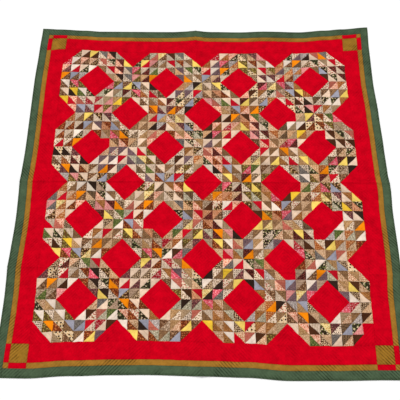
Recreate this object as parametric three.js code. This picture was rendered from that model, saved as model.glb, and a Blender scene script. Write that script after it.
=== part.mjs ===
import * as THREE from 'three';

// Scrap quilt, laid out flat with its right side up. The centre panel is pieced from
// small triangles, two to a square, around whole red diamonds. Round it run a red
// border, a narrow ochre strip, a green border and a green binding. Each corner of the
// red border is a large ochre square, with two short red pieces and one small ochre
// square in the run of the narrow strip.
// X runs to the right, Y runs from the near edge to the far edge, and Z is up.
// The origin is at the middle of the underside.

// Driving dimensions, in millimetres.
const SQUARE = 50.8;             // finished side of a small square, made of two triangles
const SQUARES_A_BLOCK = 4;       // a block is four small squares wide
const BLOCKS_A_SIDE = 8;
const RED_WIDTH = 84;
const OCHRE_WIDTH = 25.4;
const GREEN_WIDTH = 35.6;
const BINDING_WIDTH = 7.6;
const SEAM_THICKNESS = 3.5;      // top, wadding and backing where a seam draws them together
const BINDING_THICKNESS = 4.4;
const PATCH_RISE = 1.2;          // how far a patch puffs up between its seams
const SEAM_GAP = 0.3;            // between two pieces sewn side by side

// Places across the quilt, measured from its middle.
const FIELD = SQUARE * SQUARES_A_BLOCK * BLOCKS_A_SIDE / 2;
const RED = FIELD + RED_WIDTH;
const RED_MIDDLE = FIELD + RED_WIDTH / 2;
const OCHRE = RED + OCHRE_WIDTH;
const GREEN = OCHRE + GREEN_WIDTH;
const EDGE = GREEN + BINDING_WIDTH;

// How far each edge wanders out past a straight line, in millimetres, at places along
// it that are counted in small squares from its middle.
const FAR_WANDER = [
  { at: -19, out: 5 }, { at: -17, out: 0 }, { at: -14, out: -8 }, { at: -12, out: -15 },
  { at: -4, out: -17 }, { at: -1, out: -11 }, { at: 1, out: -16 }, { at: 4, out: -18 },
  { at: 7, out: -12 }, { at: 11, out: -17 }, { at: 14, out: -4 }, { at: 16, out: 5 },
  { at: 19, out: 19 },
];
const NEAR_WANDER = [
  { at: -19, out: 6 }, { at: -16, out: 7 }, { at: -12, out: -5 }, { at: -8, out: -11 },
  { at: -5, out: -13 }, { at: 0, out: -9 }, { at: 4, out: -5 }, { at: 8, out: 7 },
  { at: 12, out: 5 }, { at: 17, out: 0 }, { at: 19, out: 0 },
];
const LEFT_WANDER = [
  { at: -19, out: 4 }, { at: -12, out: -2 }, { at: -9, out: 2 }, { at: -4, out: -5 },
  { at: 0, out: 0 }, { at: 4, out: -5 }, { at: 12, out: -3 }, { at: 16, out: -8 },
  { at: 19, out: -12 },
];
const RIGHT_WANDER = [
  { at: -19, out: 0 }, { at: -12, out: 3 }, { at: -8, out: 14 }, { at: -3, out: 10 },
  { at: -1, out: 14 }, { at: 1, out: 8 }, { at: 4, out: 5 }, { at: 8, out: 0 },
  { at: 12, out: -9 }, { at: 16, out: -8 }, { at: 19, out: -3 },
];
const CALM_WITHIN = 8 * SQUARE;   // the middle of the quilt keeps its straight lines
const FULL_WANDER = 18 * SQUARE;

// Soft ridges where the quilt was folded. Ends are in small squares from the middle,
// rise and reach (to each side of the ridge) are in millimetres.
const CREASES = [
  { fromX: -19.4, fromY: 0, toX: 19.4, toY: 0, rise: 7, reach: 66 },
  { fromX: -19.4, fromY: -8.9, toX: 19.4, toY: -9.5, rise: 6, reach: 66 },
  { fromX: -1, fromY: 19.4, toX: 0, toY: -19.4, rise: 7, reach: 66 },
];

const COTTON_ROUGHNESS = 0.9;

function cotton(color) {
  return new THREE.MeshStandardMaterial({ color, roughness: COTTON_ROUGHNESS, metalness: 0 });
}

const patchwork = cotton('#a68468');
const turkeyRed = cotton('#c8041c');
const ochre = cotton('#a5702e');
const olive = cotton('#936926');
const green = cotton('#4c5f47');

const smooth = (t) => t * t * (3 - 2 * t);
const blend = (from, to, t) => from + (to - from) * t;

// The wander at a place, eased from row to row of its table.
function wanderAt(table, place) {
  const at = THREE.MathUtils.clamp(place / SQUARE, table[0].at, table.at(-1).at);
  const next = Math.max(1, table.findIndex((row) => row.at >= at));
  const [from, to] = [table[next - 1], table[next]];
  return blend(from.out, to.out, smooth((at - from.at) / (to.at - from.at)));
}

// One coordinate of a point, moved out by the wander of the edge that it lies towards.
function wandered(along, place, lowTable, highTable) {
  const t = THREE.MathUtils.clamp((Math.abs(along) - CALM_WITHIN) / (FULL_WANDER - CALM_WITHIN), 0, 1);
  const out = wanderAt(along < 0 ? lowTable : highTable, place);
  return along + Math.sign(along) * smooth(t) * out;
}

// How far the cloth stands off the surface at a point: the highest crease there.
function creaseLift(x, y) {
  const lifts = CREASES.map(({ fromX, fromY, toX, toY, rise, reach }) => {
    const from = new THREE.Vector2(fromX, fromY).multiplyScalar(SQUARE);
    const run = new THREE.Vector2(toX, toY).multiplyScalar(SQUARE).sub(from);
    const away = Math.abs(run.cross(new THREE.Vector2(x, y).sub(from))) / run.length();
    return rise * Math.max(0, 1 - away / reach);
  });
  return Math.max(...lifts);
}

// A point of the cloth as it lies: x and y are its place in the pattern.
function laid(x, y, above) {
  return [
    wandered(x, y, LEFT_WANDER, RIGHT_WANDER),
    wandered(y, x, NEAR_WANDER, FAR_WANDER),
    creaseLift(x, y) + above,
  ];
}

// The lines of a piece, with its two ends drawn in by half of the gap at a seam.
function insideSeams(lines) {
  const inset = [...lines];
  inset[0] += SEAM_GAP / 2;
  inset[inset.length - 1] -= SEAM_GAP / 2;
  return inset;
}

// A closed sheet over a grid of columns and rows. riseAt gives how far a crossing of
// the grid puffs up, leansLeft tells which way a square is cut in two, and puffs tells
// whether a half of it rises to a peak of its own.
function sheetGeometry({ columns, rows, thickness, riseAt, leansLeft, puffs }) {
  const [xs, ys] = [insideSeams(columns), insideSeams(rows)];
  const [across, down] = [xs.length, ys.length];
  const points = [];
  const triangles = [];
  const addPoint = (x, y, above) => points.push(laid(x, y, above)) - 1;
  const addTriangle = (a, b, c) => triangles.push(a, b, c);

  ys.forEach((y, j) => xs.forEach((x, i) => addPoint(x, y, thickness + riseAt(i, j))));
  ys.forEach((y) => xs.forEach((x) => addPoint(x, y, 0)));
  const top = ([i, j]) => j * across + i;
  const under = ([i, j]) => (down + j) * across + i;

  const addHalf = (a, b, c) => {
    addTriangle(under(a), under(c), under(b));
    if (!puffs(a, b, c)) {
      addTriangle(top(a), top(b), top(c));
      return;
    }
    const middle = (values, k) => (values[a[k]] + values[b[k]] + values[c[k]]) / 3;
    const peak = addPoint(middle(xs, 0), middle(ys, 1), thickness + PATCH_RISE);
    addTriangle(top(a), top(b), peak);
    addTriangle(top(b), top(c), peak);
    addTriangle(top(c), top(a), peak);
  };

  for (let j = 0; j < down - 1; j += 1) {
    for (let i = 0; i < across - 1; i += 1) {
      const [a, b, c, d] = [[i, j], [i + 1, j], [i + 1, j + 1], [i, j + 1]];
      if (leansLeft(i, j)) {
        addHalf(a, b, d);
        addHalf(b, c, d);
      } else {
        addHalf(a, b, c);
        addHalf(a, c, d);
      }
    }
  }

  const addWall = (from, to) => {
    addTriangle(under(from), under(to), top(to));
    addTriangle(under(from), top(to), top(from));
  };
  for (let i = 0; i < across - 1; i += 1) {
    addWall([i, 0], [i + 1, 0]);
    addWall([i + 1, down - 1], [i, down - 1]);
  }
  for (let j = 0; j < down - 1; j += 1) {
    addWall([across - 1, j], [across - 1, j + 1]);
    addWall([0, j + 1], [0, j]);
  }

  const geometry = new THREE.BufferGeometry();
  geometry.setAttribute('position', new THREE.Float32BufferAttribute(points.flat(), 3));
  geometry.setIndex(triangles);
  geometry.computeVertexNormals();
  return geometry;
}

const quilt = new THREE.Group();

function addPiece(name, material, geometry) {
  const piece = new THREE.Mesh(geometry, material);
  piece.name = name;
  quilt.add(piece);
}

// The centre panel. Blocks are cut one way and the other by turns. A red diamond sits
// on every second corner of the blocks, and reaches half a block each way.
const squaresASide = SQUARES_A_BLOCK * BLOCKS_A_SIDE;
const panelLines = Array.from({ length: squaresASide + 1 }, (_, k) => k * SQUARE - FIELD);

const isEven = (n) => Math.abs(n) % 2 === 0;
const blockOf = (k) => Math.floor(k / SQUARES_A_BLOCK);

// Whether a place in the panel, in small squares, lies inside a diamond.
function inDiamond(i, j) {
  const [a, b] = [i, j].map((k) => Math.round(k / SQUARES_A_BLOCK));
  const away = Math.abs(i - a * SQUARES_A_BLOCK) + Math.abs(j - b * SQUARES_A_BLOCK);
  return isEven(a + b) && away < SQUARES_A_BLOCK / 2;
}

function addCentrePanel() {
  const last = squaresASide;
  const onRim = (i, j) => i === 0 || j === 0 || i === last || j === last;
  addPiece('centre_panel', patchwork, sheetGeometry({
    columns: panelLines,
    rows: panelLines,
    thickness: SEAM_THICKNESS,
    riseAt: (i, j) => (inDiamond(i, j) && !onRim(i, j) ? PATCH_RISE : 0),
    leansLeft: (i, j) => isEven(blockOf(i) + blockOf(j)),
    puffs: (...half) => {
      const [i, j] = [0, 1].map((k) => half.reduce((sum, corner) => sum + corner[k], 0) / 3);
      return !inDiamond(i, j);
    },
  }));
}

// A border piece. It puffs up along any line of its grid that isn't one of its seams.
function addBorderPiece(name, material, columns, rows, thickness = SEAM_THICKNESS) {
  const inner = (k, lines) => k > 0 && k < lines.length - 1;
  addPiece(name, material, sheetGeometry({
    columns,
    rows,
    thickness,
    riseAt: (i, j) => (inner(i, columns) && inner(j, rows) ? PATCH_RISE : 0),
    leansLeft: () => true,
    puffs: () => false,
  }));
}

// Lines along a border that ends at the given seam, with every seam that it passes.
function linesTo(...seams) {
  const beyond = seams.filter((seam) => seam > FIELD);
  const before = beyond.map((seam) => -seam).reverse();
  return [...before, ...panelLines, ...beyond];
}

// Lines across a border, taken to the low side (-1) or the high side (1) of the quilt.
const onSide = (side, lines) => (side > 0 ? lines : lines.map((line) => -line).reverse());

const redLines = [FIELD, RED_MIDDLE, RED];
const ENDS = [{ name: 'near', side: -1 }, { name: 'far', side: 1 }];
const SIDES = [{ name: 'left', side: -1 }, { name: 'right', side: 1 }];

// One row for each border, from the inside out. across holds its own lines. along holds
// the lines of the two that run across the quilt, and upright those of the side ones.
const BORDERS = [
  {
    name: 'red_border', material: turkeyRed, thickness: SEAM_THICKNESS, across: redLines,
    along: linesTo(), upright: linesTo(),
  },
  {
    name: 'ochre_strip', material: ochre, thickness: SEAM_THICKNESS, across: [RED, OCHRE],
    along: linesTo(), upright: linesTo(),
  },
  {
    name: 'green_border', material: green, thickness: SEAM_THICKNESS, across: [OCHRE, GREEN],
    along: linesTo(RED_MIDDLE, RED, OCHRE), upright: linesTo(RED_MIDDLE, RED, OCHRE, GREEN),
  },
  {
    name: 'binding', material: green, thickness: BINDING_THICKNESS, across: [GREEN, EDGE],
    along: linesTo(RED_MIDDLE, RED, OCHRE, GREEN),
    upright: linesTo(RED_MIDDLE, RED, OCHRE, GREEN, EDGE),
  },
];

function addBorders() {
  for (const { name, material, thickness, across, along, upright } of BORDERS) {
    for (const end of ENDS) {
      addBorderPiece(`${name}_${end.name}`, material, along, onSide(end.side, across), thickness);
    }
    for (const side of SIDES) {
      addBorderPiece(`${name}_${side.name}`, material, onSide(side.side, across), upright, thickness);
    }
  }
}

// The four pieces of each corner.
function addCorners() {
  const stripLines = [RED, OCHRE];
  for (const end of ENDS) {
    for (const side of SIDES) {
      const corner = `${end.name}_${side.name}`;
      const [redColumns, redRows] = [onSide(side.side, redLines), onSide(end.side, redLines)];
      const [stripColumns, stripRows] = [onSide(side.side, stripLines), onSide(end.side, stripLines)];
      addBorderPiece(`corner_square_${corner}`, olive, redColumns, redRows);
      addBorderPiece(`corner_red_end_${corner}`, turkeyRed, redColumns, stripRows);
      addBorderPiece(`corner_red_side_${corner}`, turkeyRed, stripColumns, redRows);
      addBorderPiece(`corner_spot_${corner}`, ochre, stripColumns, stripRows);
    }
  }
}

addCentrePanel();
addBorders();
addCorners();

const bounds = new THREE.Box3().setFromObject(quilt);
const middle = bounds.getCenter(new THREE.Vector3());
quilt.position.set(-middle.x, -middle.y, -bounds.min.z);

export default quilt;
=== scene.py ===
"""A pieced scrap quilt, laid out flat with its right side up.

The centre panel is sewn from small cotton triangles around whole red diamonds. A red
border, a narrow ochre strip, a green border and a green binding run round it. X runs to
the right, Y to the far edge and Z up, in metres.
"""
import math
import random

import bmesh
import bpy
import numpy as np
from mathutils import Matrix, Vector


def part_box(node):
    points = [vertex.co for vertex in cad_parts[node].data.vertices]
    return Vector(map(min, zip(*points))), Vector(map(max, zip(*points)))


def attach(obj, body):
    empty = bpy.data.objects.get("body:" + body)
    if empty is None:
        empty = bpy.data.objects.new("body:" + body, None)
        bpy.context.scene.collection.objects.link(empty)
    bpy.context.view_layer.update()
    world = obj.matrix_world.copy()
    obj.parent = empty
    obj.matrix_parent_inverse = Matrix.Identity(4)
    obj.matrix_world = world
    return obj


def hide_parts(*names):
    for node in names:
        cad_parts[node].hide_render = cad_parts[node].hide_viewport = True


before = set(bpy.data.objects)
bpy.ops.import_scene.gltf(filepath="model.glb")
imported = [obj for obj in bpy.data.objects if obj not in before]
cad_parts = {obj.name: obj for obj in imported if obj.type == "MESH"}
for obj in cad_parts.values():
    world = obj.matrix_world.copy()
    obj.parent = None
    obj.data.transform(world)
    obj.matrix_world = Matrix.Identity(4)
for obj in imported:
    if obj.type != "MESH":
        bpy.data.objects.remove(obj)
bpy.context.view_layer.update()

bl_info = {
    "name": "Scrap quilt",
    "version": (1, 0, 0),
    "blender": (4, 5, 0),
    "location": "3D View > Sidebar > Quilt",
    "description": "Makes a pieced scrap quilt laid out flat on a studio floor",
    "category": "Add Mesh",
}

MM = 0.001

# Places across the quilt, from its middle. They follow the frame's solids.
SQUARE = 50.8 * MM               # finished side of a small square, made of two triangles
SQUARES_A_BLOCK = 4
SQUARES_A_SIDE = 32
HALF_SIDE = SQUARES_A_SIDE // 2
FIELD = SQUARE * HALF_SIDE
RED = FIELD + 84 * MM
OCHRE = RED + 25.4 * MM
GREEN = OCHRE + 35.6 * MM
EDGE = GREEN + 7.6 * MM
SOLID_GAP = 0.3 * MM             # between the frame's solids
SEAM_GAP = 0.08 * MM             # between two pieces here, which their stitches draw together
SEAM_THICKNESS = 3.5 * MM
BINDING_THICKNESS = 4.4 * MM

# How far each edge wanders out past a straight line, in millimetres, at places along it
# that are counted in small squares from its middle: (place, out).
FAR_WANDER = [
    (-19, 5), (-17, 0), (-14, -8), (-12, -15), (-4, -17), (-1, -11), (1, -16), (4, -18),
    (7, -12), (11, -17), (14, -4), (16, 5), (19, 19),
]
NEAR_WANDER = [
    (-19, 6), (-16, 7), (-12, -5), (-8, -11), (-5, -13), (0, -9), (4, -5), (8, 7),
    (12, 5), (17, 0), (19, 0),
]
LEFT_WANDER = [
    (-19, 4), (-12, -2), (-9, 2), (-4, -5), (0, 0), (4, -5), (12, -3), (16, -8), (19, -12),
]
RIGHT_WANDER = [
    (-19, 0), (-12, 3), (-8, 14), (-3, 10), (-1, 14), (1, 8), (4, 5), (8, 0), (12, -9),
    (16, -8), (19, -3),
]
CALM_WITHIN = 8 * SQUARE          # the middle of the quilt keeps its straight lines
FULL_WANDER = 18 * SQUARE

# Where the sewn pattern has drifted inside its outline: the column and row of the middle of
# each drift, its reach in small squares, and how far right and far it goes in millimetres.
DRIFTS = [
    (-15, 15, 11, -2, 17),
    (-1, 16, 9, -16, 2),
    (-1, 8, 6, -3, -6),
    (12, 11, 8, 0, 8),
    (16, -9, 6, -3, -8),
]
SEWING_WANDER = 1.3 * MM         # how far a seam sewn by hand strays to each side
SEWING_TIGHTNESS = 2.2           # its waves are this much shorter than the cloth's own

# Low uneven waves all over the quilt, where its cloth is fuller or slacker.
SOFT_WAVES = 14
SOFT_WAVE_LENGTHS = (70 * MM, 220 * MM)
SOFT_WAVE_RANGE = 5              # their sum goes about this far each way
UNEVEN_PUFF = 0.35               # the share of a patch's rise that follows the waves

# Soft ridges where the quilt was folded: both ends in small squares from the middle, the rise
# and the reach to each side in millimetres, and how dark the painted shade along the fold's line
# is.
CREASES = [
    ((-19.4, 0), (19.4, 0), 7, 66, 1.0),
    ((-19.4, -8.9), (19.4, -9.5), 6, 66, 1.0),
    ((-1, 19.4), (0, -19.4), 7, 66, 0.3),
]
CREASE_FOLD_REACH = 9 * MM       # the pressed fold along the top of a ridge
CREASE_FOLD_SHARE = 0.45
CREASE_SHADE_WIDTH = 2.5 * MM           # the width of the painted shade along the fold's line
CREASE_SHADE_BASE = 0.6                # how dark that painted shade is where the soft waves are level

# Where the mesh of a small square has its lines: close to the seams and to the quilting.
SQUARE_LINES = (0, 0.04, 0.14, 0.25, 0.36, 0.46, 0.5, 0.54, 0.64, 0.75, 0.86, 0.96)
UNIT_SQUARES = 8                 # the panel is made in units of two blocks by two
# A border's mesh has even lines, so that its slanting quilting always meets their corners.
BORDER_STEP = SQUARE / 12
CLOSEST_LINE = 0.2 * BORDER_STEP     # no line lies closer than this to a seam
# Real lines are about 9 mm apart in the green border, and wider in the corner squares. All are
# drawn 12 mm apart, so that they show from above the whole quilt.
BORDER_QUILTING = 4 * BORDER_STEP / math.sqrt(2)
PATCH_QUILTING = SQUARE / math.sqrt(2)               # one line through each triangle
QUILTING_WIDTH = 1.9 * MM
SEAM_SOFTNESS = 4.5 * MM         # how quickly the cloth rises beside a seam
# How quickly the painted shade beside a seam fades away from it.
SEAM_DITCH = 1.3 * MM
# The panel's seams are pressed flatter than the borders', so less painted shade lies in them.
PANEL_SEAM_SHADE_SHARE = 0.3          # painted seam shade in the panel, as a share of the borders'

# The binding, rolled over at the quilt's outer edge.
ROLL_STARTS = 0.4                # share of its width that is still flat
ROLL_ROUNDNESS = 0.98            # 1 would stand its outer edge upright
ROLL_LOW = 1.2 * MM              # the roll closes towards this height from below
ROLL_HIGH = 1.6 * MM             # and towards this one from above
BINDING_LINES = 7                # lines of its mesh across its width
BINDING_STITCH = 7 * MM
BINDING_STITCH_DEPTH = 0.25 * MM
BINDING_DITCH_FADE = 8           # how quickly the painted shade of its seam fades across it

# What the finish of washed cotton shows, in real sizes.
THREAD = 1.1 * MM                # real thread is 0.4 mm apart; drawn coarser, so that it can show
FADE_SIZE = 40 * MM              # places that washing and light have faded
PUCKER_SIZE = 9 * MM             # wrinkles between stitches, in the bump and as painted light and shade
STRETCH_SIZE = 120 * MM          # stretches where the quilting is drawn tighter or looser
STITCH_LENGTH = 5 * MM           # one stitch and the space after it
STITCH_WIDTH = 0.9 * MM          # real thread is half as wide; drawn wider, so that it shows
STITCH_SHOWS = -0.3              # above this the stitch's wave is thread, below it a space
GROOVE_REACH = 3.4 * MM
STRETCH_LEVELS = (0.38, 0.62)    # of the noise, where the quilting is loosest and tightest
TIGHTNESS = (0.2, 1.5)           # how deep its grooves, and the painted shade in them, are there
# How strongly fading, the puckers' painted light and shade, and the painted shade along the
# folds show in the colour. Where the noises of the first two are at their middle, 0.5, they and the
# even share add up to 1, the cotton's own colour.
EVEN_SHARE = 0.4
FADE_SHARE = 0.7
PUCKER_SHADING_SHARE = 0.5
FOLD_SHADE_SHARE = 0.22
# How far the weave and the grooves stand out in the bump, as a share of what a pucker does.
WEAVE_HEIGHT = 0.12
GROOVE_HEIGHT = 0.6
BUMP_DEPTH = 1.1 * MM
BUMP_STRENGTH = 0.5

# How much painted shade darkens a cotton's quilting lines and its seams. Its stitches keep its
# colour.
LINE_SHADE = 0.45
LINE_SHADES = {
    "turkey_red_cotton": 0.12, "green_cotton": 0.5, "olive_ochre_cotton": 0.65, "scraps": 0.1,
}
SEAM_SHADE = 0.22
SEAM_SHADES = {"turkey_red_cotton": 0.3, "scraps": 0.6}

# The prints. A dot's radius is a share of its print's repeat. The sizes of sprigs and vines
# are levels of the noise that draws them: a higher level draws them larger.
DOT_RADIUS = 0.25
DOT_LOOSENESS = 0.35             # 0 would set the dots in even rows
SPRIG_SIZE = 0.69
SPRIG_LOOSENESS = 0.9
SPRIG_RAGGEDNESS = 0.9
VINE_SIZE = 0.045
PRINT_DETAIL = 2.4               # lumps of a sprig's or a vine's outline in one repeat
LEAF_DETAIL = 1.7
LEAF_LEVEL = 0.6                 # a higher level leaves fewer leaves
BAR_EDGE = 2.5                   # how sharp a stripe's edges are
BAR_THIN = -0.5                  # a lower level makes a thinner stripe
NUMBER_MARGIN = 0.4              # numbers that differ by less stand for the same print

SEED = 1890


def linear(hex_code):
    """An sRGB hex colour as linear red, green and blue."""
    channels = [int(hex_code[k:k + 2], 16) / 255 for k in (1, 3, 5)]
    return [c / 12.92 if c <= 0.04045 else ((c + 0.055) / 1.055) ** 2.4 for c in channels]


# Each scrap cotton: name, share, ground, figure, second figure, print and its repeat in
# millimetres. A print is one of PRINTS.
PRINTS = ("plain", "dots", "sprigs", "stripe", "check", "vine")
LIGHT_COTTONS = [
    ("muslin", 16, "#e5cdb0", "#d4bc9c", "#d4bc9c", "plain", 9),
    ("bleached cotton", 11, "#eaddc9", "#e0ccb4", "#e0ccb4", "plain", 9),
    ("cream sprig", 7, "#ecd8bc", "#8a6444", "#908454", "sprigs", 11),
    ("cream pin dot", 6, "#e8d4b8", "#3c2c20", "#3c2c20", "dots", 9),
    ("cream red sprig", 6, "#ead4b8", "#ac3c30", "#6c7038", "sprigs", 12),
    ("shirting stripe", 6, "#e4d1ba", "#9c8868", "#9c8868", "stripe", 7),
    ("bisque vine", 6, "#d8b891", "#9a7048", "#bc9c74", "vine", 12),
    ("fawn", 5, "#cfac88", "#946840", "#7c703c", "sprigs", 11),
    ("tan dot", 4, "#bb8a64", "#ecd0ac", "#ecd0ac", "dots", 9),
    ("stone stripe", 4, "#b99f85", "#806850", "#806850", "stripe", 7),
    ("taupe", 5, "#9a8368", "#d0b89c", "#6c5440", "sprigs", 11),
    ("dove grey", 5, "#a69e96", "#ccc2b8", "#74665c", "sprigs", 11),
    ("sage grey", 4, "#a8a288", "#ccc4a8", "#747050", "sprigs", 11),
    ("peach", 6, "#ebaf90", "#bc6848", "#f8dcc0", "sprigs", 12),
    ("shell pink", 3, "#eab6a4", "#c45060", "#c45060", "check", 7),
    ("terracotta", 3, "#b07048", "#e0ac84", "#884c2c", "vine", 12),
    ("buff", 4, "#d4a678", "#986838", "#f0d4a4", "dots", 9),
    ("cream black spot", 4, "#e8d0a6", "#2e2219", "#c09a58", "dots", 17),
]
DARK_COTTONS = [
    ("cocoa", 8, "#6b4a30", "#b08c68", "#442c1a", "sprigs", 11),
    ("tobacco", 9, "#855024", "#bc8850", "#5c3012", "vine", 12),
    ("chocolate", 8, "#4a2b18", "#5c3822", "#5c3822", "plain", 9),
    ("black brown", 5, "#30221a", "#3c2c20", "#3c2c20", "plain", 9),
    ("seal dot", 8, "#4a321e", "#d4b890", "#d4b890", "dots", 9),
    ("black floral", 5, "#2a1e15", "#d4bf9c", "#687034", "sprigs", 14),
    ("black stripe", 3, "#302218", "#886c4c", "#886c4c", "stripe", 7),
    ("maroon", 5, "#421c17", "#804438", "#6c2c24", "sprigs", 10),
    ("mulberry", 4, "#58464a", "#8c7474", "#6c4850", "vine", 11),
    ("brown floral", 5, "#482815", "#d4ac7c", "#7c7438", "sprigs", 13),
    ("madder", 8, "#6b3216", "#bc7844", "#882c18", "sprigs", 11),
    ("rust", 6, "#995226", "#dca468", "#783616", "dots", 9),
    ("khaki", 7, "#76553a", "#b08c60", "#4e341e", "vine", 12),
    ("walnut check", 6, "#563820", "#a07c54", "#a07c54", "check", 7),
    ("olive", 5, "#5d4e24", "#a4944c", "#743020", "sprigs", 12),
    ("plum brown", 4, "#563432", "#9c6c5c", "#803844", "sprigs", 11),
    ("slate", 3, "#54504c", "#948c80", "#36302c", "vine", 11),
    ("caramel", 5, "#b06a3a", "#e0b07c", "#84481e", "sprigs", 11),
    ("sand", 4, "#a07748", "#d0ac7c", "#705028", "vine", 12),
    ("drab", 4, "#82684a", "#b49c78", "#b49c78", "stripe", 7),
]
ACCENT_COTTONS = [
    ("turkey red", 0, "#cc0219", "#cc0219", "#cc0219", "plain", 9),
    ("orange", 0, "#ee8a0a", "#e47c00", "#e47c00", "plain", 9),
    ("yellow", 0, "#f0d468", "#e8b848", "#e8b848", "plain", 9),
    ("golden yellow", 0, "#f0c83a", "#e0a828", "#e0a828", "plain", 9),
    ("butter", 0, "#ecd894", "#d0a050", "#a49850", "sprigs", 12),
    ("rose", 0, "#d85864", "#ec9ca0", "#b43c50", "sprigs", 12),
    ("pale blue", 0, "#a6a9b2", "#8b8e9c", "#8b8e9c", "check", 6),
    ("crimson", 0, "#bc0e22", "#a00c20", "#a00c20", "plain", 9),
    ("claret", 0, "#94141e", "#b84048", "#d0a898", "sprigs", 11),
    ("leaf green", 0, "#566430", "#80884c", "#3c4820", "sprigs", 11),
    ("brick", 0, "#9c4030", "#c87c68", "#c87c68", "check", 7),
    ("leaf print", 0, "#2e291b", "#c4b490", "#65703c", "sprigs", 16),
    ("red floral", 0, "#bc1020", "#e8a0a0", "#5c4438", "sprigs", 13),
]
COTTONS = LIGHT_COTTONS + DARK_COTTONS + ACCENT_COTTONS
COTTON_NUMBERS = {row[0]: number for number, row in enumerate(COTTONS)}
AGED_TINT = (1.045, 0.962, 0.975)    # age has warmed the colour of every scrap a little
DYE_DEPTHS = (0.8, 1.08)         # each scrap's colour is this much deeper or paler
GRAIN_SLIP = 0.12                # how far a scrap is cut off the grain, in radians
CLOTH_REACH = 1.0                # how far along its cloth a scrap may be cut, in metres

# How the scraps were shared out in a block.
COTTONS_AT_HAND = 6
SAME_COTTON_CHANCE = 0.15        # that the next scrap is cut from the cotton in hand
AT_HAND_CHANCE = 0.5             # that another one comes from the cottons at hand
CLEAR_OF_DIAMOND = -0.5          # halves this far off do not share a side with a diamond

# Some scraps of other colours were shared out, at most one of each to a block: name, whether
# it takes the place of a light scrap, and how many blocks in a hundred have it.
SHARED_OUT = [
    ("butter", True, 24), ("pale blue", True, 56), ("claret", False, 20),
    ("leaf green", False, 36), ("brick", False, 26), ("leaf print", False, 40),
]
# The brightest ones are placed one by one: name, whether it takes the place of a light scrap, and
# the column and row of each square.
CHARTED = [
    ("orange", True, [
        (-16, 12), (-6, 12), (-2, 12), (2, 13), (10, 14), (13, 15), (-6, 8), (-4, 8), (5, 8),
        (-14, 4), (-9, 5), (3, 7), (-15, 1), (-11, 1), (4, 0), (8, 3), (12, 1), (-13, -2),
        (-9, -3), (-6, -3), (1, -2), (6, -4), (-11, -7), (-5, -8), (1, -6), (4, -8), (15, -5),
        (-15, -11), (-9, -11), (-2, -9), (11, -10), (-15, -15), (-8, -13), (6, -13), (9, -14),
    ]),
    ("yellow", True, [
        (-13, 15), (-9, 11), (-13, 7), (-9, 14), (-7, 14), (-1, 14), (4, 14), (1, 11), (4, 9),
        (10, 10), (15, 10), (11, 7), (4, 6), (10, 2), (14, 2), (7, 2), (2, 0), (-2, -1),
        (-10, -4), (-8, -6), (-1, -6), (-15, -8), (-6, -9), (-10, -12), (-2, -15), (-7, -16),
        (-11, -16), (5, -1), (15, -2), (11, -3), (5, -5), (9, -6), (1, -7), (12, -7),
        (3, -11), (14, -11), (3, -15),
    ]),
    ("golden yellow", True, [
        (-15, 10), (-16, 9), (-10, 9), (10, 5), (-14, -7), (9, -2), (14, -3), (2, -10), (0, -15),
    ]),
    ("rose", True, [
        (-8, 13), (-15, 11), (-11, 11), (-8, 10), (-16, 6), (-10, 5), (2, 14), (8, 11), (6, 11),
        (14, 7), (1, 5), (9, 4), (13, 2), (4, 1), (-14, -8), (-6, -8), (-3, -8), (-11, -10),
        (-3, -10), (2, -1), (12, -1), (7, -2), (8, -4), (9, -8), (1, -12), (0, -13),
        (10, -12), (13, -13),
    ]),
    ("crimson", False, [
        (-15, 13), (-11, 13), (-7, 14), (-4, 14), (-6, 10), (-1, 10), (-15, 9), (-12, 8),
        (-6, 7), (-16, 4), (-9, 2), (-7, 3), (-3, 0), (0, 13), (6, 13), (14, 14), (8, 12),
        (9, 9), (3, 9), (12, 8), (2, 5), (6, 4), (6, 3), (9, 2), (2, 2), (13, 0), (-15, -2),
        (-8, -4), (-1, -4), (-10, -6), (-2, -6), (-11, -9), (-14, -10), (-8, -11), (-1, -12),
        (-11, -15), (5, -3), (2, -3), (2, -8), (3, -9), (5, -10), (12, -10), (4, -15),
    ]),
]
# Halves cut from the red of the diamonds, where they alter a diamond's outline: column, row,
# and whether it is the upper half.
RED_HALVES = [
    (-11, 4, True), (9, 7, False), (12, 5, True), (9, -1, False), (13, -4, True),
    (11, -6, False), (-6, -5, False), (8, -10, False), (15, -15, True), (-16, -5, False),
    (3, -16, False),
]
RED_FLORAL_HALVES = [(-16, 14, False), (1, 15, False)]

ENDS = (("near", -1), ("far", 1))
SIDES = (("left", -1), ("right", 1))

# The camera as it was placed: metres over the middle of the pattern, angles in radians.
CAMERA_OFFSET = (0.0105, -0.8959, 2.3467)
CAMERA_PITCH = 0.3285            # from straight down
CAMERA_ROLL = -0.0241
CAMERA_TURN = 0.0314
CAMERA_LENS = 42.96              # in millimetres, as the sensor is
SENSOR_WIDTH = 36
# A studio's white floor and soft light.
FLOOR_SIZE = 9.0
FLOOR_WHITE = 0.97
SKY_STRENGTH = 0.74
LAMP_STRENGTH = 1.4
LAMP_SOFTNESS = 18               # degrees across
LAMP_TILT = (-38, -16, 0)        # degrees


def smooth(t):
    """Eases a share from 0 to 1."""
    return t * t * (3 - 2 * t)


def wander_at(table, place):
    """How far an edge wanders out at each place along it."""
    ats = np.array([row[0] for row in table], float)
    outs = np.array([row[1] for row in table]) * MM
    at = np.clip(place / SQUARE, ats[0], ats[-1])
    after = np.clip(np.searchsorted(ats, at), 1, len(ats) - 1)
    t = (at - ats[after - 1]) / (ats[after] - ats[after - 1])
    return outs[after - 1] + (outs[after] - outs[after - 1]) * smooth(t)


def wandered(along, place, low_table, high_table):
    """One coordinate of the points, moved out by the wander of the edge they lie towards."""
    t = smooth(np.clip((np.abs(along) - CALM_WITHIN) / (FULL_WANDER - CALM_WITHIN), 0, 1))
    out = np.where(along < 0, wander_at(low_table, place), wander_at(high_table, place))
    return along + np.sign(along) * t * out


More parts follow.
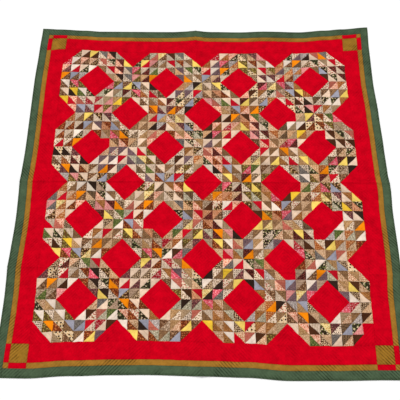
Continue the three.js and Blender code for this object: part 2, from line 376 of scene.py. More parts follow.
def laid(x, y):
    """Where the pattern's points lie on the surface, before the frame's shift."""
    return (wandered(x, y, LEFT_WANDER, RIGHT_WANDER),
            wandered(y, x, NEAR_WANDER, FAR_WANDER))


def drifted(x, y):
    """How far right and far each point of the pattern has drifted or was sewn out of line.
    The outline stays."""
    inside_x, inside_y = (smooth(np.clip((EDGE - np.abs(at)) / (EDGE - FIELD), 0, 1))
                          for at in (x, y))
    right, far = np.zeros_like(x), np.zeros_like(x)
    for column, row, reach, to_right, to_far in DRIFTS:
        away = np.hypot(x / SQUARE - column, y / SQUARE - row) / reach
        share = inside_x * inside_y * smooth(np.clip(1 - away, 0, 1)) * MM
        right, far = right + share * to_right, far + share * to_far
    stray = inside_x * inside_y * SEWING_WANDER
    tight_x, tight_y = x * SEWING_TIGHTNESS, y * SEWING_TIGHTNESS
    return right + stray * soft_waves(tight_x, tight_y), far + stray * soft_waves(tight_y, tight_x)


def frame_shift():
    """How far the frame moved the quilt, so that its origin is the middle of the outline."""
    lines = np.arange(-HALF_SIDE, HALF_SIDE + 1) * SQUARE
    rim = np.full(len(lines), FIELD - SOLID_GAP / 2)
    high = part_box("centre_panel")[1]
    right = laid(rim, lines)[0].max()
    far = laid(lines, rim)[1].max()
    return high.x - right, high.y - far


SHIFT = frame_shift()


def crease_lift(x, y):
    """How far the cloth stands off the surface: the highest ridge at each point. Also how dark the
    painted shade along the line of that fold is there."""
    lift, fold_shade = np.zeros_like(x), np.zeros_like(x)
    for start, end, rise, reach, fold_shade_depth in CREASES:
        (ax, ay), (bx, by) = [[c * SQUARE for c in point] for point in (start, end)]
        run = math.hypot(bx - ax, by - ay)
        away = np.abs((bx - ax) * (y - ay) - (by - ay) * (x - ax)) / run
        broad = smooth(np.clip(1 - away / (reach * MM), 0, 1))
        fold = smooth(np.clip(1 - away / CREASE_FOLD_REACH, 0, 1))
        share = (1 - CREASE_FOLD_SHARE) * broad + CREASE_FOLD_SHARE * fold
        lift = np.maximum(lift, rise * MM * share)
        fold_shade = np.maximum(fold_shade, fold_shade_depth * np.exp(-(away / CREASE_SHADE_WIDTH) ** 2))
    return lift, fold_shade * np.clip(CREASE_SHADE_BASE + soft_waves(x, y), 0, 1)


def soft_waves(x, y):
    """Low uneven waves over the whole quilt, from -1 to 1."""
    draw = random.Random(SEED)
    total = np.zeros_like(x)
    for _ in range(SOFT_WAVES):
        turn = draw.uniform(0, math.tau)
        length = draw.uniform(*SOFT_WAVE_LENGTHS)
        start = draw.uniform(0, math.tau)
        total += np.sin((x * math.cos(turn) + y * math.sin(turn)) * math.tau / length + start)
    return np.clip(total / SOFT_WAVE_RANGE, -1, 1)


def groove(away):
    """A soft groove, 1 deep along its line."""
    return np.exp(-(away / QUILTING_WIDTH) ** 2)


def in_square(x, y):
    """Column and row of each point's small square, and its place in it from 0 to 1."""
    i = np.clip(np.floor(x / SQUARE), -HALF_SIDE, HALF_SIDE - 1)
    j = np.clip(np.floor(y / SQUARE), -HALF_SIDE, HALF_SIDE - 1)
    return i.astype(int), j.astype(int), x / SQUARE - i, y / SQUARE - j


def leans_left(i, j):
    """Whether the seam across a square runs from its far left to its near right corner."""
    return (i // SQUARES_A_BLOCK + j // SQUARES_A_BLOCK) % 2 == 0


def diamond_reach(x, y):
    """How far inside the nearest red diamond a point lies, in small squares."""
    u, v = x / SQUARE / SQUARES_A_BLOCK, y / SQUARE / SQUARES_A_BLOCK
    a, b = np.rint(u), np.rint(v)
    away = (np.abs(u - a) + np.abs(v - b)) * SQUARES_A_BLOCK
    return np.where((a + b) % 2 == 0, SQUARES_A_BLOCK / 2 - away, -away)


def points_inward(x, y):
    """Whether the border's quilting runs from far left to near right at each point."""
    return x * y < 0


def panel_relief(x, y):
    """How far from a seam, and how deep in a quilting groove, each point of the panel is."""
    i, j, u, v = in_square(x, y)
    across = np.where(leans_left(i, j), u + v - 1, v - u)
    seam = np.minimum.reduce([u, 1 - u, v, 1 - v, np.abs(across) / math.sqrt(2)])
    inside = diamond_reach(x, y) / math.sqrt(2)
    quilted = groove(np.abs(np.abs(across) - 0.5) * PATCH_QUILTING)
    seam = np.where(inside > 0, inside, seam) * SQUARE
    seam = np.minimum(seam, FIELD - np.maximum(np.abs(x), np.abs(y)))
    return seam, np.where(inside > 0, 0, quilted)


def border_relief(columns, rows):
    """The same for a border piece, whose quilting points at the middle of the quilt."""
    def relief(x, y):
        ends = np.minimum(x - columns[0], columns[-1] - x)
        sides = np.minimum(y - rows[0], rows[-1] - y)
        lean = np.where(points_inward(x, y), 1, -1)
        across = (x + y * lean) / math.sqrt(2) / BORDER_QUILTING
        away = np.abs(across - np.rint(across)) * BORDER_QUILTING
        return np.minimum(ends, sides), groove(away)
    return relief


def puffed(sizes, relief):
    """The heights of a piece's top and underside, over the surface it lies on."""
    def heights(x, y):
        seam, quilted = relief(x, y)
        rise = 1 - np.exp(-np.maximum(seam, 0) / SEAM_SOFTNESS)
        fullness = sizes.puff * (1 + UNEVEN_PUFF * soft_waves(x, y)) - sizes.quilting * quilted
        dents = (1 - rise + rise * quilted) * sizes.backing_dent
        # Painted shade in the seam: 1 at the seam, fading away from it.
        ditch_shade = np.exp(-np.maximum(seam, 0) / SEAM_DITCH)
        in_panel = np.maximum(np.abs(x), np.abs(y)) < FIELD + SEAM_SOFTNESS
        ditch_shade = ditch_shade * np.where(in_panel, PANEL_SEAM_SHADE_SHARE, 1)
        return SEAM_THICKNESS + rise * fullness, dents, ditch_shade
    return heights


def rolled(x, y):
    """The heights of a binding strip, rolled over at the quilt's outer edge."""
    t = np.clip((np.maximum(np.abs(x), np.abs(y)) - GREEN) / (EDGE - GREEN), 0, 1)
    turn = np.clip((t - ROLL_STARTS) / (1 - ROLL_STARTS), 0, 1)
    curl = np.sqrt(1 - ROLL_ROUNDNESS * turn ** 2)
    climb = smooth(np.clip(t / ROLL_STARTS, 0, 1))
    crown = SEAM_THICKNESS + (BINDING_THICKNESS - SEAM_THICKNESS) * climb
    stitched = BINDING_STITCH_DEPTH * np.sin((x + y) * math.tau / BINDING_STITCH) * (1 - t)
    top = ROLL_HIGH + (crown - ROLL_HIGH) * curl + stitched
    # Also the painted shade of the binding's seam, fading across it.
    return top, ROLL_LOW * (1 - curl), np.exp(-BINDING_DITCH_FADE * t)


def add_node(tree, kind, inputs=(), **settings):
    """A node with its settings. Each input, by its order or its name, is set to a value or
    linked from a socket or from a node's first output."""
    node = tree.nodes.new(f"ShaderNode{kind}")
    for name, value in settings.items():
        setattr(node, name, value)
    for key, value in inputs.items() if isinstance(inputs, dict) else enumerate(inputs):
        if isinstance(value, bpy.types.Node):
            value = value.outputs[0]
        if isinstance(value, bpy.types.NodeSocket):
            tree.links.new(value, node.inputs[key])
        else:
            node.inputs[key].default_value = value
    return node


def quilting_lines(tree, pitch, first_line):
    """The grooves and the running stitches of the quilting, drawn from the piece's lay map:
    its flat place in the quilt, in metres."""
    lay = add_node(tree, "UVMap", uv_map="lay")
    lean = add_node(tree, "Attribute", attribute_name="lean").outputs["Fac"]
    flat = add_node(tree, "SeparateXYZ", [lay]).outputs
    leaning = add_node(tree, "Math", [flat[1], lean], operation="MULTIPLY")
    across = add_node(tree, "Math", [flat[0], leaning], operation="ADD")
    across = add_node(tree, "Math", [across, 1 / math.sqrt(2), -first_line * pitch],
                      operation="MULTIPLY_ADD")
    away = add_node(tree, "Math", [across, pitch / 2], operation="PINGPONG")
    dip = add_node(tree, "MapRange", [away, 0.0, GROOVE_REACH, 1.0, 0.0],
                   interpolation_type="SMOOTHSTEP")
    along = add_node(tree, "Math", [flat[0], leaning], operation="SUBTRACT")
    along = add_node(tree, "Math", [along, math.tau / STITCH_LENGTH / math.sqrt(2)],
                     operation="MULTIPLY")
    wave = add_node(tree, "Math", [along], operation="SINE")
    shown = add_node(tree, "Math", [wave, STITCH_SHOWS], operation="GREATER_THAN")
    on_line = add_node(tree, "Math", [away, STITCH_WIDTH / 2], operation="LESS_THAN")
    return dip, add_node(tree, "Math", [shown, on_line], operation="MULTIPLY")


def finish_cotton(material, cotton, colour, tint, pitch, first_line=0.0):
    """Plain weave cotton, washed and matt: hardly any gloss, a short soft nap. Painted shade
    darkens its colour in the quilting grooves, the seams and along the folds, the puckers add
    painted light and shade to it, and it is a little uneven from washing."""
    tree = material.node_tree
    line_shade = LINE_SHADES.get(cotton, LINE_SHADE)
    seam_shade = SEAM_SHADES.get(cotton, SEAM_SHADE)
    place = add_node(tree, "TexCoord").outputs["Object"]
    fade, pucker, stretch = (
        add_node(tree, "TexNoise", {"Vector": place, "Scale": 1 / size, "Detail": detail})
        for size, detail in ((FADE_SIZE, 4.0), (PUCKER_SIZE, 4.0), (STRETCH_SIZE, 2.0)))
    ditch_shade, fold_shade = (add_node(tree, "Attribute", attribute_name=name).outputs["Fac"]
                   for name in ("ditch_shade", "fold_shade"))
    dip, stitch = quilting_lines(tree, pitch, first_line)
    tight = add_node(tree, "MapRange", [stretch, *STRETCH_LEVELS, *TIGHTNESS],
                     interpolation_type="SMOOTHSTEP")
    dip = add_node(tree, "Math", [dip, tight], operation="MULTIPLY")
    # The colour's level: real fading, the puckers' painted light and shade, painted shade in the
    # grooves, the seams and along the folds, and the stitches, which keep the cloth's colour.
    level = EVEN_SHARE
    for part, share in ((fade, FADE_SHARE), (pucker, PUCKER_SHADING_SHARE), (dip, -line_shade),
                        (ditch_shade, -seam_shade), (fold_shade, -FOLD_SHADE_SHARE), (stitch, line_shade)):
        level = add_node(tree, "Math", [part, share, level], operation="MULTIPLY_ADD")
    grey = add_node(tree, "CombineColor", [level, level, level])
    colour = add_node(tree, "Mix", {0: 1.0, 6: colour, 7: grey}, data_type="RGBA",
                      blend_type="MULTIPLY").outputs[2]

    threads = add_node(tree, "VectorMath", {0: place, 3: math.tau / THREAD}, operation="SCALE")
    threads = add_node(tree, "VectorMath", [threads], operation="SINE")
    threads = add_node(tree, "SeparateXYZ", [threads]).outputs
    weave = add_node(tree, "Math", [threads[0], threads[1]], operation="MULTIPLY")
    height = pucker
    for part, share in ((weave, WEAVE_HEIGHT), (dip, -GROOVE_HEIGHT)):
        height = add_node(tree, "Math", [part, share, height], operation="MULTIPLY_ADD")
    bump = add_node(tree, "Bump", {
        "Height": height, "Strength": BUMP_STRENGTH, "Distance": BUMP_DEPTH})
    shader = add_node(tree, "BsdfPrincipled", {
        "Base Color": colour, "Normal": bump, "Roughness": 0.95, "Specular IOR Level": 0.02,
        "Sheen Weight": 0.04, "Sheen Roughness": 0.6, "Sheen Tint": (*tint, 1.0),
    })
    add_node(tree, "OutputMaterial", {"Surface": shader})


def new_material(name):
    """An empty node material."""
    material = bpy.data.materials.new(name)
    material.use_nodes = True
    material.node_tree.nodes.clear()
    return material


def plain_cotton(cotton, colour):
    """Piece dyed plain cotton: one colour, a little uneven where it was washed."""
    name = f"washed_{cotton}"
    if name in bpy.data.materials:
        return bpy.data.materials[name]
    material = new_material(name)
    finish_cotton(material, cotton, (*colour, 1.0), colour, BORDER_QUILTING)
    return material


def turkey_red(colours):
    """Turkey red cotton: madder dyed and bright. It is so deep that stitches hardly show."""
    return plain_cotton("turkey_red_cotton", colours.turkey_red)


def printed_scraps():
    """Roller printed cotton scraps. Each face carries its cloth's ground and figure colours,
    and its cut map runs along the cloth's own grain, so that a print stops at its seams."""
    material = new_material("printed_cotton_scraps")
    tree = material.node_tree
    ground, first, second, number, repeat = (
        add_node(tree, "Attribute", attribute_name=name).outputs[output]
        for name, output in (("ground", "Color"), ("figure", "Color"), ("second", "Color"),
                             ("print", "Fac"), ("repeat", "Fac")))
    cut = add_node(tree, "UVMap", uv_map="cut")
    repeats = add_node(tree, "Math", [1 / MM, repeat], operation="DIVIDE")
    spot = add_node(tree, "VectorMath", {0: cut, 3: repeats}, operation="SCALE")
    near_dot, near_sprig = (
        add_node(tree, "TexVoronoi", {"Vector": spot, "Scale": 1.0, "Randomness": looseness},
                 voronoi_dimensions="2D") for looseness in (DOT_LOOSENESS, SPRIG_LOOSENESS))
    fine, broad = (
        add_node(tree, "TexNoise", {"Vector": spot, "Scale": detail, "Detail": 2.0},
                 noise_dimensions="2D") for detail in (PRINT_DETAIL, LEAF_DETAIL))
    waves = add_node(tree, "VectorMath", {0: spot, 3: math.tau}, operation="SCALE")
    waves = add_node(tree, "VectorMath", [waves], operation="SINE")
    waves = add_node(tree, "SeparateXYZ", [waves]).outputs
    stripe, crossing = (
        add_node(tree, "Math", [wave, BAR_EDGE, BAR_THIN], operation="MULTIPLY_ADD", use_clamp=True)
        for wave in (waves[0], waves[1]))

    dots = add_node(tree, "Math", [near_dot, DOT_RADIUS], operation="LESS_THAN")
    sprigs = add_node(tree, "Math", [fine, SPRIG_RAGGEDNESS, near_sprig], operation="MULTIPLY_ADD")
    sprigs = add_node(tree, "Math", [sprigs, SPRIG_SIZE], operation="LESS_THAN")
    check = add_node(tree, "Math", [stripe, crossing], operation="ADD")
    check = add_node(tree, "Math", [check, 0.5], operation="MULTIPLY")
    vine = add_node(tree, "Math", [fine, 0.5, VINE_SIZE], operation="COMPARE")
    leaves = add_node(tree, "Math", [broad, LEAF_LEVEL], operation="GREATER_THAN")

    figure = 0.0
    for print_number, mask in enumerate((dots, sprigs, stripe, check, vine), start=1):
        chosen = add_node(tree, "Math", [number, print_number, NUMBER_MARGIN], operation="COMPARE")
        figure = add_node(tree, "Math", [chosen, mask, figure], operation="MULTIPLY_ADD")
    # A plain cotton's number is 0, so the smaller of the two leaves it without leaves.
    printed = add_node(tree, "Math", [leaves, number], operation="MINIMUM")
    colour = ground
    for share, laid_over in ((printed, second), (figure, first)):
        colour = add_node(tree, "Mix", {0: share, 6: colour, 7: laid_over},
                          data_type="RGBA").outputs[2]
    finish_cotton(material, "scraps", colour, linear("#e8dccb"), PATCH_QUILTING, first_line=0.5)
    return material


def backing_muslin():
    """Unbleached muslin, the quilt's backing: cream, and washed soft."""
    return plain_cotton("unbleached_muslin", linear("#e4d6bd"))


def border_lines(low, high):
    """The mesh lines of a border piece between two seams."""
    low, high = low + SEAM_GAP / 2, high - SEAM_GAP / 2
    first, last = math.ceil(low / BORDER_STEP), math.floor(high / BORDER_STEP)
    between = [k * BORDER_STEP for k in range(first, last + 1)]
    between = [at for at in between if min(at - low, high - at) > CLOSEST_LINE]
    return np.array([low, *between, high])


def cloth_piece(name, columns, rows, heights, turned_left, materials, node):
    """A closed sheet between its seams, laid on its solid's folds. turned_left says how the
    quads at each point are cut in two, so that their edges follow the slanting seams. Gives
    the piece, and for each face whether it is on the underside and where its corners are."""
    # The sheet starts as a grid in steps of one, one thick, so that a point's place tells which
    # mesh lines it is on. Then each point is moved to its own place.
    across, down = len(columns) - 1, len(rows) - 1
    place = Matrix.Translation((across / 2, down / 2, 0)) @ Matrix.Diagonal((across, down, 1, 1))
    bm = bmesh.new()
    bmesh.ops.create_grid(bm, x_segments=across, y_segments=down, size=0.5, matrix=place)
    left = turned_left(*np.meshgrid((columns[1:] + columns[:-1]) / 2, (rows[1:] + rows[:-1]) / 2))
    quads = {True: [], False: []}
    for face in bm.faces:
        centre = face.calc_center_median()
        quads[bool(left[int(centre.y), int(centre.x)])].append(face)
    bmesh.ops.triangulate(bm, faces=quads[True], quad_method="ALTERNATE")
    bmesh.ops.triangulate(bm, faces=quads[False], quad_method="FIXED")
    bmesh.ops.solidify(bm, geom=bm.faces[:], thickness=1.0)
    bmesh.ops.triangulate(bm, faces=[face for face in bm.faces if len(face.verts) > 3])
    bm.normal_update()
    for edge in bm.edges:
        edge.smooth = len({round(face.normal.z) for face in edge.link_faces}) == 1
    mesh = bpy.data.meshes.new(name)
    bm.to_mesh(mesh)
    bm.free()

    grid = np.empty(len(mesh.vertices) * 3, np.float32)
    mesh.vertices.foreach_get("co", grid)
    grid = grid.reshape(-1, 3)
    x, y = columns[np.rint(grid[:, 0]).astype(int)], rows[np.rint(grid[:, 1]).astype(int)]
    top, under, ditch_shade = heights(x, y)
    on_top = grid[:, 2] > -0.5
    out_x, out_y = laid(x, y)
    right, far = drifted(x, y)
    lift, fold_shade = crease_lift(x + right, y + far)
    z = lift + np.where(on_top, top, under)
    points = np.stack([out_x + right + SHIFT[0], out_y + far + SHIFT[1], z], axis=1)
    mesh.vertices.foreach_set("co", points.ravel().astype(np.float32))

    corners = np.empty(len(mesh.loops), np.int32)
    mesh.loops.foreach_get("vertex_index", corners)
    corners = corners.reshape(-1, 3)
    is_under = ~on_top[corners].any(axis=1)
    corner_x, corner_y = x[corners], y[corners]
    lean = np.where(turned_left(corner_x.mean(axis=1), corner_y.mean(axis=1)), 1.0, -1.0)
    # Painted shade of the seams and along the folds, for the material to darken the colour by.
    add_layer(mesh, "ditch_shade", "FLOAT", "POINT", ditch_shade)
    add_layer(mesh, "fold_shade", "FLOAT", "POINT", fold_shade)
    add_layer(mesh, "lean", "FLOAT", "FACE", lean)
    add_map(mesh, "lay", corner_x, corner_y)
    for material in materials:
        mesh.materials.append(material)
    mesh.polygons.foreach_set("use_smooth", np.ones(len(is_under), bool))
    mesh.polygons.foreach_set("material_index", is_under.astype(np.int32))
    mesh.update()

    piece = bpy.data.objects.new(name, mesh)
    bpy.context.scene.collection.objects.link(piece)
    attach(piece, "root")
    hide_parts(node)
    return piece, is_under, corner_x, corner_y


def add_layer(mesh, name, kind, domain, values):
    """A value for each point or face of a mesh."""
    layer = mesh.attributes.new(name, kind, domain)
    key = "color" if kind == "FLOAT_COLOR" else "value"
    layer.data.foreach_set(key, np.asarray(values, np.float32).ravel())


def add_map(mesh, name, across, up):
    """A map with a place for each corner of each face."""
    flat = np.stack([across, up], axis=-1).astype(np.float32)
    mesh.uv_layers.new(name=name).data.foreach_set("uv", flat.ravel())


def cloth_name(node):
    """The name of the piece that stands for a node of the frame."""
    return f"{node}_cloth"


def patch_number(i, j, upper):
    """One number for each half of each small square."""
    return ((i + HALF_SIDE) * SQUARES_A_SIDE + j + HALF_SIDE) * 2 + upper


def light_is_upper(i):
    """Whether the light half of a square is its upper one: so in every second column of blocks."""
    return (i // SQUARES_A_BLOCK) % 2 == 0


def half_number(i, j, is_light):
    """The number of a square's light or dark half."""
    return patch_number(i, j, is_light == light_is_upper(i))


def into_diamond(i, j, upper):
    """How far inside the nearest red diamond the middle of a square's half lies."""
    u = v = 2 / 3 if upper else 1 / 3
    if not leans_left(i, j):
        u = 1 - u
    return diamond_reach((i + u) * SQUARE, (j + v) * SQUARE)


def scrap_plan():
    """The number of the cotton that each half of each small square is cut from."""
    draw = random.Random(SEED)
    plan = np.zeros(2 * SQUARES_A_SIDE ** 2, int)
    for block_i in range(-HALF_SIDE, HALF_SIDE, SQUARES_A_BLOCK):
        for block_j in range(-HALF_SIDE, HALF_SIDE, SQUARES_A_BLOCK):
            squares = [(i, j) for i in range(block_i, block_i + SQUARES_A_BLOCK)
                       for j in range(block_j, block_j + SQUARES_A_BLOCK)]
            for is_light, rows in ((True, LIGHT_COTTONS), (False, DARK_COTTONS)):
                shares = [row[1] for row in rows]
                at_hand = draw.choices(rows, shares, k=COTTONS_AT_HAND)
                last = draw.choice(at_hand)
                for i, j in squares:
                    if draw.random() > SAME_COTTON_CHANCE:
                        is_at_hand = draw.random() < AT_HAND_CHANCE
                        last = draw.choice(at_hand if is_at_hand else draw.choices(rows, shares))
                    plan[half_number(i, j, is_light)] = COTTON_NUMBERS[last[0]]
            taken = {square for *_, charted in CHARTED for square in charted}
            for name, is_light, chance in SHARED_OUT:
                free = [(i, j) for i, j in squares if (i, j) not in taken
                        and into_diamond(i, j, is_light == light_is_upper(i)) < CLEAR_OF_DIAMOND]
                i, j = draw.choice(free)
                if draw.random() * 100 < chance:
                    taken.add((i, j))
                    plan[half_number(i, j, is_light)] = COTTON_NUMBERS[name]
    for name, is_light, charted in CHARTED:
        for i, j in charted:
            plan[half_number(i, j, is_light)] = COTTON_NUMBERS[name]
    for i, j, upper in RED_HALVES:
        plan[patch_number(i, j, upper)] = COTTON_NUMBERS["turkey red"]
    for i, j, upper in RED_FLORAL_HALVES:
        plan[patch_number(i, j, upper)] = COTTON_NUMBERS["red floral"]
    return plan


def dress_scraps(mesh, is_under, corner_x, corner_y, plan):
    """Gives each face of the panel its cotton, and each corner its place on that cloth."""
    x, y = corner_x.mean(axis=1), corner_y.mean(axis=1)
    i, j, u, v = in_square(x, y)
    upper = np.where(leans_left(i, j), u + v > 1, v > u)
    patch = patch_number(i, j, upper.astype(int))
    cotton = plan[patch]
    is_red = (diamond_reach(x, y) > 0) | (cotton == COTTON_NUMBERS["turkey red"])
    mesh.polygons.foreach_set("material_index", np.where(is_under, 1, np.where(is_red, 2, 0)))

    draw = np.random.default_rng(SEED)
    depth = draw.uniform(*DYE_DEPTHS, len(plan))
    turn = draw.integers(0, 4, len(plan)) * math.pi / 2
    turn = turn + draw.uniform(-GRAIN_SLIP, GRAIN_SLIP, len(plan))
    start = draw.uniform(-CLOTH_REACH, CLOTH_REACH, (2, len(plan)))
    for name, part in (("ground", 2), ("figure", 3), ("second", 4)):
        colours = np.array([[*linear(row[part]), 1.0] for row in COTTONS])[cotton]
        colours[:, :3] *= depth[patch][:, None] * AGED_TINT
        add_layer(mesh, name, "FLOAT_COLOR", "FACE", colours)
    prints = np.array([PRINTS.index(row[5]) for row in COTTONS])
    repeats = np.array([row[6] for row in COTTONS])
    add_layer(mesh, "print", "FLOAT", "FACE", prints[cotton])
    add_layer(mesh, "repeat", "FLOAT", "FACE", repeats[cotton])
    cos, sin, along, up = (part[patch][:, None] for part in (np.cos(turn), np.sin(turn), *start))
    add_map(mesh, "cut", corner_x * cos - corner_y * sin + along,
            corner_x * sin + corner_y * cos + up)


def unit_lines(start):
    """The mesh lines of one unit of the panel, which stops half a seam gap inside its rim."""
    lines = [(start + k + share) * SQUARE for k in range(UNIT_SQUARES) for share in SQUARE_LINES]
    lines.append((start + UNIT_SQUARES) * SQUARE)
    rim = FIELD - SEAM_GAP / 2
    return np.clip(lines, -rim, rim)


def add_centre_panel(sizes, colours):
    """The pieced centre, in units of two blocks by two."""
    materials = [printed_scraps(), backing_muslin(), turkey_red(colours)]
    plan = scrap_plan()
    starts = range(-HALF_SIDE, HALF_SIDE, UNIT_SQUARES)
    for column, start_i in enumerate(starts):
        for row, start_j in enumerate(starts):
            columns, rows = unit_lines(start_i), unit_lines(start_j)
            piece, *faces = cloth_piece(
                f"centre_unit_{column}_{row}", columns, rows, puffed(sizes, panel_relief),
                lambda x, y: leans_left(*in_square(x, y)[:2]), materials, "centre_panel")
            dress_scraps(piece.data, *faces, plan)


def on_side(side, seams):
    """Two seams across a border, taken to the low side (-1) or the high side (1)."""
    return sorted(side * seam for seam in seams)


def add_border_piece(name, column_seams, row_seams, material, sizes):
    """One plain strip or square of the borders."""
    columns, rows = border_lines(*column_seams), border_lines(*row_seams)
    piece = cloth_piece(
        cloth_name(name), columns, rows, puffed(sizes, border_relief(columns, rows)),
        points_inward, [material, backing_muslin()], name)[0]


def add_border(prefix, seams, end_reach, side_reach, material, sizes):
    """The four strips of one border. The ones at the ends may be shorter than the side ones."""
    for end, side in ENDS + SIDES:
        at_end = (end, side) in ENDS
        across = on_side(side, seams)
        along = (-end_reach, end_reach) if at_end else (-side_reach, side_reach)
        column_seams, row_seams = (along, across) if at_end else (across, along)
        add_border_piece(f"{prefix}_{end}", column_seams, row_seams, material, sizes)


def add_binding(colours):
    """The narrow green strips rolled over the quilt's outer edge."""
    # The border's green, painted darker as the shade of the rolled edge.
    material = plain_cotton("shaded_green_binding", colours.shaded_binding_green)
    for end, side in ENDS + SIDES:
        at_end = (end, side) in ENDS
        width = side * np.linspace(GREEN + SEAM_GAP / 2, EDGE, BINDING_LINES)[::side]
        reach = GREEN if at_end else EDGE
        length = border_lines(-reach, reach)
        columns, rows = (length, width) if at_end else (width, length)
        name = f"binding_{end}"
        cloth_piece(cloth_name(name), columns, rows, rolled, points_inward,
                    [material, material], name)


def add_corners(sizes, colours):
    """Each corner's large square, two short red pieces and small square."""
    red = turkey_red(colours)
    olive = plain_cotton("olive_ochre_cotton", colours.olive_ochre)
    ochre = plain_cotton("ochre_cotton", colours.ochre)
    for end, end_side in ENDS:
        for side, side_side in SIDES:
            corner = f"{end}_{side}"
            wide_x, wide_y = on_side(side_side, (FIELD, RED)), on_side(end_side, (FIELD, RED))
            slim_x, slim_y = on_side(side_side, (RED, OCHRE)), on_side(end_side, (RED, OCHRE))
            for prefix, columns, rows, cotton, material in (
                    ("corner_square", wide_x, wide_y, "olive_ochre_cotton", olive),
                    ("corner_red_end", wide_x, slim_y, "turkey_red_cotton", red),
                    ("corner_red_side", slim_x, wide_y, "turkey_red_cotton", red),
                    ("corner_spot", slim_x, slim_y, "ochre_cotton", ochre)):
                add_border_piece(f"{prefix}_{corner}", columns, rows, material, sizes)


def add_stage():
    """A plain white floor, soft even light and the camera."""
    scene = bpy.context.scene
    scene.view_settings.view_transform = "Standard"
    bm = bmesh.new()
    bmesh.ops.create_grid(bm, x_segments=1, y_segments=1, size=FLOOR_SIZE / 2)
    mesh = bpy.data.meshes.new("studio_floor")
    bm.to_mesh(mesh)
    bm.free()
    floor = bpy.data.objects.new("studio_floor", mesh)
    scene.collection.objects.link(floor)
    paper = new_material("matt_white_floor")
    shader = add_node(paper.node_tree, "BsdfPrincipled", {
        "Base Color": (FLOOR_WHITE, FLOOR_WHITE, FLOOR_WHITE, 1.0), "Roughness": 1.0,
        "Specular IOR Level": 0.0})
    add_node(paper.node_tree, "OutputMaterial", {"Surface": shader})
    mesh.materials.append(paper)

    world = bpy.data.worlds.new("soft_studio")
    world.use_nodes = True
    background = world.node_tree.nodes["Background"].inputs
    background["Color"].default_value = (1, 1, 1, 1)
    background["Strength"].default_value = SKY_STRENGTH
    scene.world = world

    lamp = bpy.data.lights.new("window_light", "SUN")
    lamp.energy = LAMP_STRENGTH
    lamp.angle = math.radians(LAMP_SOFTNESS)
    light = bpy.data.objects.new("window_light", lamp)
    light.rotation_euler = [math.radians(turn) for turn in LAMP_TILT]
    scene.collection.objects.link(light)

    data = bpy.data.cameras.new("camera")
    data.lens, data.sensor_width = CAMERA_LENS, SENSOR_WIDTH
    camera = bpy.data.objects.new("camera", data)
    place = Vector(CAMERA_OFFSET) + Vector((*SHIFT, 0))
    turn = (Matrix.Rotation(CAMERA_TURN, 4, "Z") @ Matrix.Rotation(CAMERA_PITCH, 4, "X")
            @ Matrix.Rotation(CAMERA_ROLL, 4, "Z"))
    camera.matrix_world = Matrix.Translation(place) @ turn
    scene.collection.objects.link(camera)
    scene.camera = camera


def size_property(label, use, default):
    """A length that the panel shows."""
    return bpy.props.FloatProperty(name=label, description=use, default=default, unit="LENGTH")


def colour_property(label, use, hex_code):
    """A colour that the panel shows."""
    return bpy.props.FloatVectorProperty(
        name=label, description=use, subtype="COLOR", size=3, min=0, max=1,
        default=linear(hex_code))


class QuiltSizes(bpy.types.PropertyGroup):
    """Sizes that change how full and how flat the quilt lies."""
    puff: size_property("Puff", "How far a patch rises between its seams", 1.3 * MM)
    quilting: size_property(
        "Quilting depth", "How deep the quilting stitches draw the top in", 0.6 * MM)
    backing_dent: size_property(
        "Backing dent", "How far seams and quilting draw the backing up", 0.6 * MM)


class QuiltColours(bpy.types.PropertyGroup):
    """Colours of the plain cottons."""
    turkey_red: colour_property("Turkey red", "The red border and diamonds", "#c90019")
    ochre: colour_property("Ochre", "The narrow strip inside the green border", "#9f702a")
    olive_ochre: colour_property("Olive ochre", "The large corner squares", "#9a6e26")
    border_green: colour_property("Border green", "The wide green border", "#4b5d45")
    # The binding is the border's green cloth, painted darker as the shade at the rolled edge.
    shaded_binding_green: colour_property("Binding green", "The binding at the edge", "#43543d")


class QUILT_OT_stage(bpy.types.Operator):
    """Add the floor, the light and the camera"""
    bl_idname = "quilt.stage"
    bl_label = "Stage"

    def execute(self, context):
        add_stage()
        return {"FINISHED"}


class QUILT_OT_centre_panel(bpy.types.Operator):
    """Add the pieced centre panel"""
    bl_idname = "quilt.centre_panel"
    bl_label = "Centre panel"

    def execute(self, context):
        add_centre_panel(context.scene.quilt_sizes, context.scene.quilt_colours)
        return {"FINISHED"}


class QUILT_OT_red_border(bpy.types.Operator):
    """Add the wide red border"""
    bl_idname = "quilt.red_border"
    bl_label = "Red border"

    def execute(self, context):
        add_border("red_border", (FIELD, RED), FIELD, FIELD,
                   turkey_red(context.scene.quilt_colours), context.scene.quilt_sizes)
        return {"FINISHED"}


class QUILT_OT_ochre_strip(bpy.types.Operator):
    """Add the narrow ochre strip"""
    bl_idname = "quilt.ochre_strip"
    bl_label = "Ochre strip"

    def execute(self, context):
        material = plain_cotton("ochre_cotton", context.scene.quilt_colours.ochre)
        add_border("ochre_strip", (RED, OCHRE), FIELD, FIELD, material,
                   context.scene.quilt_sizes)
        return {"FINISHED"}


class QUILT_OT_binding(bpy.types.Operator):
    """Add the binding round the edge"""
    bl_idname = "quilt.binding"
    bl_label = "Binding"

    def execute(self, context):
        add_binding(context.scene.quilt_colours)
        return {"FINISHED"}


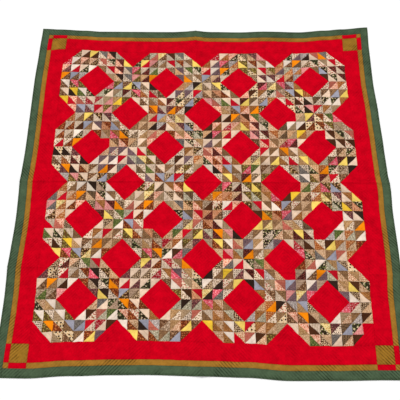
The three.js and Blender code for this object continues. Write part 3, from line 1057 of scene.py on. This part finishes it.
class QUILT_OT_green_border(bpy.types.Operator):
    """Add the green border, which the binding is sewn to and has to be there before"""
    bl_idname = "quilt.green_border"
    bl_label = "Green border"

    def execute(self, context):
        material = plain_cotton("green_cotton", context.scene.quilt_colours.border_green)
        add_border("green_border", (OCHRE, GREEN), OCHRE, GREEN, material,
                   context.scene.quilt_sizes)
        return {"FINISHED"}


class QUILT_OT_corners(bpy.types.Operator):
    """Add the squares and short pieces at the corners"""
    bl_idname = "quilt.corners"
    bl_label = "Corners"

    def execute(self, context):
        add_corners(context.scene.quilt_sizes, context.scene.quilt_colours)
        return {"FINISHED"}


OPERATORS = (
    QUILT_OT_stage, QUILT_OT_centre_panel, QUILT_OT_red_border, QUILT_OT_ochre_strip,
    QUILT_OT_binding, QUILT_OT_green_border, QUILT_OT_corners,
)


class QUILT_PT_sidebar(bpy.types.Panel):
    """Lists the quilt's pieces, sizes and colours"""
    bl_idname = "QUILT_PT_sidebar"
    bl_label = "Scrap quilt"
    bl_space_type = "VIEW_3D"
    bl_region_type = "UI"
    bl_category = "Quilt"

    def draw(self, context):
        for group in (context.scene.quilt_sizes, context.scene.quilt_colours):
            for name in group.__annotations__:
                self.layout.prop(group, name)
        for operator in OPERATORS:
            self.layout.operator(operator.bl_idname)


CLASSES = (QuiltSizes, QuiltColours, *OPERATORS, QUILT_PT_sidebar)


def register():
    """Adds the quilt's classes and its scene settings."""
    for cls in CLASSES:
        bpy.utils.register_class(cls)
    bpy.types.Scene.quilt_sizes = bpy.props.PointerProperty(type=QuiltSizes)
    bpy.types.Scene.quilt_colours = bpy.props.PointerProperty(type=QuiltColours)


def unregister():
    """Takes them away again."""
    del bpy.types.Scene.quilt_colours
    del bpy.types.Scene.quilt_sizes
    for cls in reversed(CLASSES):
        bpy.utils.unregister_class(cls)


def main():
    """Makes the whole quilt."""
    register()
    bpy.ops.quilt.stage()
    bpy.ops.quilt.centre_panel()
    bpy.ops.quilt.red_border()
    bpy.ops.quilt.ochre_strip()
    bpy.ops.quilt.binding()
    bpy.ops.quilt.green_border()
    bpy.ops.quilt.corners()


if __name__ == "__main__":
    main()
